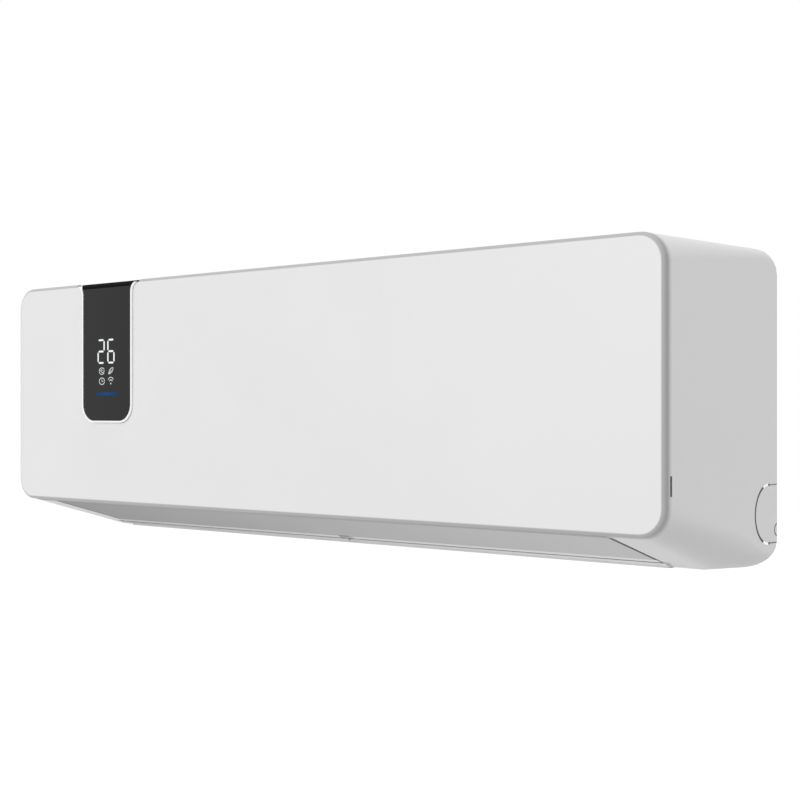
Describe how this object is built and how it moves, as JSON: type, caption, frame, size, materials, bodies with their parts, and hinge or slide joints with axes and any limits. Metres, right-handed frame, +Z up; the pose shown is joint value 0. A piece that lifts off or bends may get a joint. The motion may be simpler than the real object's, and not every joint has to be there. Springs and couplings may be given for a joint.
{
  "type": "mini split indoor unit",
  "caption": "Wall-hung split air conditioner indoor unit with a hinged front panel, a lit display under dark glass and a closed air outlet flap.",
  "frame": {"origin": "centre of the wall plate's back face, on the wall", "axes": "+X to the right seen from the room, +Y into the wall, +Z up; the front panel faces -Y"},
  "size_m": [0.777, 0.1866, 0.253],
  "materials": {
    "casing": "white satin-gloss moulding",
    "panel": "white gloss moulding",
    "flap": "white satin moulding",
    "ring": "polished white moulding",
    "display_glass": "smoked acrylic, polished",
    "inner_plastic": "light grey moulding",
    "dark_plastic": "dark grey moulding",
    "filter": "blue-grey mesh moulding",
    "rubber": "matt",
    "steel": "galvanised",
    "motor_steel": "grey paint on a steel can",
    "fins": "coated fin edges",
    "copper": "drawn copper tube",
    "brass": "machined",
    "circuit_board": "green solder resist"
  },
  "bodies": {
    "housing": {"wall_plate": "steel", "rear_chassis": "inner_plastic", "front_casing": "casing", "pipe_cover_left": "casing", "pipe_cover_right": "casing", "top_grille": "casing", "filter_guide": "inner_plastic", "panel_hinge_pin_left": "steel", "panel_hinge_pin_right": "steel", "outlet_frame": "inner_plastic", "flap_centre_bracket": "flap", "flap_motor": "dark_plastic", "fan_bearing": "rubber", "fan_motor": "motor_steel", "motor_clamp": "steel", "coil_front_lower": "fins", "coil_front_upper": "fins", "coil_rear": "fins", "tube_sheet_left": "steel", "tube_sheet_right": "copper", "gas_pipe": "copper", "liquid_pipe": "copper", "gas_flare_nut": "brass", "liquid_flare_nut": "brass", "electrical_box": "dark_plastic", "electrical_box_cover": "dark_plastic", "control_board": "circuit_board", "terminal_block": "dark_plastic", "button_switch": "dark_plastic", "casing_screw_left": "steel", "casing_screw_right": "steel"},
    "panel": {"front_panel": "panel", "display_ring": "ring", "display_glass": "display_glass", "display_housing": "dark_plastic", "display_board": "circuit_board"},
    "flap": {"horizontal_flap": "flap", "flap_pivot_pin_left": "steel", "flap_drive_shaft": "steel"},
    "fan": {"cross_flow_fan": "dark_plastic", "fan_stub_shaft": "steel", "motor_shaft": "steel"},
    "filter_left": {"dust_filter_left": "filter"},
    "filter_right": {"dust_filter_right": "filter"},
    "button": {"manual_button": "panel"},
    "link_left": {"vane_link_left": "inner_plastic"},
    "link_right": {"vane_link_right": "inner_plastic"},
    "vane_left_1": {"vertical_vane_left_1": "inner_plastic"},
    "vane_left_2": {"vertical_vane_left_2": "inner_plastic"},
    "vane_left_3": {"vertical_vane_left_3": "inner_plastic"},
    "vane_left_4": {"vertical_vane_left_4": "inner_plastic"},
    "vane_left_5": {"vertical_vane_left_5": "inner_plastic"},
    "vane_right_1": {"vertical_vane_right_1": "inner_plastic"},
    "vane_right_2": {"vertical_vane_right_2": "inner_plastic"},
    "vane_right_3": {"vertical_vane_right_3": "inner_plastic"},
    "vane_right_4": {"vertical_vane_right_4": "inner_plastic"},
    "vane_right_5": {"vertical_vane_right_5": "inner_plastic"}
  },
  "joints": [
    {"name": "panel_hinge", "type": "hinge", "parent": "housing", "child": "panel", "pos_m": [0, -0.1775, 0.0895], "axis": [-1, 0, 0], "range_deg": [0, 50]},
    {"name": "flap_pivot", "type": "hinge", "parent": "housing", "child": "flap", "pos_m": [0, -0.0845, -0.15333], "axis": [1, 0, 0], "range_deg": [0, 80]},
    {"name": "fan_spin", "type": "hinge", "parent": "housing", "child": "fan", "pos_m": [0, -0.077, -0.07], "axis": [1, 0, 0], "continuous": true},
    {"name": "filter_left_slide", "type": "slide", "parent": "housing", "child": "filter_left", "axis": [0, 0, 1], "range_m": [0, 0.18]},
    {"name": "filter_right_slide", "type": "slide", "parent": "housing", "child": "filter_right", "axis": [0, 0, 1], "range_m": [0, 0.18]},
    {"name": "button_press", "type": "slide", "parent": "housing", "child": "button", "axis": [0, 1, 0], "range_m": [0, 0.0015], "stiffness_N_per_m": 900},
    {"name": "vane_left_1_turn", "type": "hinge", "parent": "housing", "child": "vane_left_1", "pos_m": [-0.058, -0.135, -0.115], "axis": [0, 0, 1], "range_deg": [-30, 30]},
    {"name": "vane_left_2_turn", "type": "hinge", "parent": "housing", "child": "vane_left_2", "pos_m": [-0.114, -0.135, -0.115], "axis": [0, 0, 1], "range_deg": [-30, 30]},
    {"name": "vane_left_3_turn", "type": "hinge", "parent": "housing", "child": "vane_left_3", "pos_m": [-0.17, -0.135, -0.115], "axis": [0, 0, 1], "range_deg": [-30, 30]},
    {"name": "vane_left_4_turn", "type": "hinge", "parent": "housing", "child": "vane_left_4", "pos_m": [-0.226, -0.135, -0.115], "axis": [0, 0, 1], "range_deg": [-30, 30]},
    {"name": "vane_left_5_turn", "type": "hinge", "parent": "housing", "child": "vane_left_5", "pos_m": [-0.282, -0.135, -0.115], "axis": [0, 0, 1], "range_deg": [-30, 30]},
    {"name": "link_left_slide", "type": "slide", "parent": "housing", "child": "link_left", "axis": [1, 0, 0], "range_m": [-0.00733, 0.00733]},
    {"name": "vane_right_1_turn", "type": "hinge", "parent": "housing", "child": "vane_right_1", "pos_m": [0.058, -0.135, -0.115], "axis": [0, 0, 1], "range_deg": [-30, 30]},
    {"name": "vane_right_2_turn", "type": "hinge", "parent": "housing", "child": "vane_right_2", "pos_m": [0.114, -0.135, -0.115], "axis": [0, 0, 1], "range_deg": [-30, 30]},
    {"name": "vane_right_3_turn", "type": "hinge", "parent": "housing", "child": "vane_right_3", "pos_m": [0.17, -0.135, -0.115], "axis": [0, 0, 1], "range_deg": [-30, 30]},
    {"name": "vane_right_4_turn", "type": "hinge", "parent": "housing", "child": "vane_right_4", "pos_m": [0.226, -0.135, -0.115], "axis": [0, 0, 1], "range_deg": [-30, 30]},
    {"name": "vane_right_5_turn", "type": "hinge", "parent": "housing", "child": "vane_right_5", "pos_m": [0.282, -0.135, -0.115], "axis": [0, 0, 1], "range_deg": [-30, 30]},
    {"name": "link_right_slide", "type": "slide", "parent": "housing", "child": "link_right", "axis": [1, 0, 0], "range_m": [-0.00733, 0.00733]}
  ],
  "couplings": [
    {"joint": "vane_left_1_turn", "follows": "link_left_slide", "rad_per_m": 71.429},
    {"joint": "vane_left_2_turn", "follows": "link_left_slide", "rad_per_m": 71.429},
    {"joint": "vane_left_3_turn", "follows": "link_left_slide", "rad_per_m": 71.429},
    {"joint": "vane_left_4_turn", "follows": "link_left_slide", "rad_per_m": 71.429},
    {"joint": "vane_left_5_turn", "follows": "link_left_slide", "rad_per_m": 71.429},
    {"joint": "vane_right_1_turn", "follows": "link_right_slide", "rad_per_m": 71.429},
    {"joint": "vane_right_2_turn", "follows": "link_right_slide", "rad_per_m": 71.429},
    {"joint": "vane_right_3_turn", "follows": "link_right_slide", "rad_per_m": 71.429},
    {"joint": "vane_right_4_turn", "follows": "link_right_slide", "rad_per_m": 71.429},
    {"joint": "vane_right_5_turn", "follows": "link_right_slide", "rad_per_m": 71.429}
  ]
}
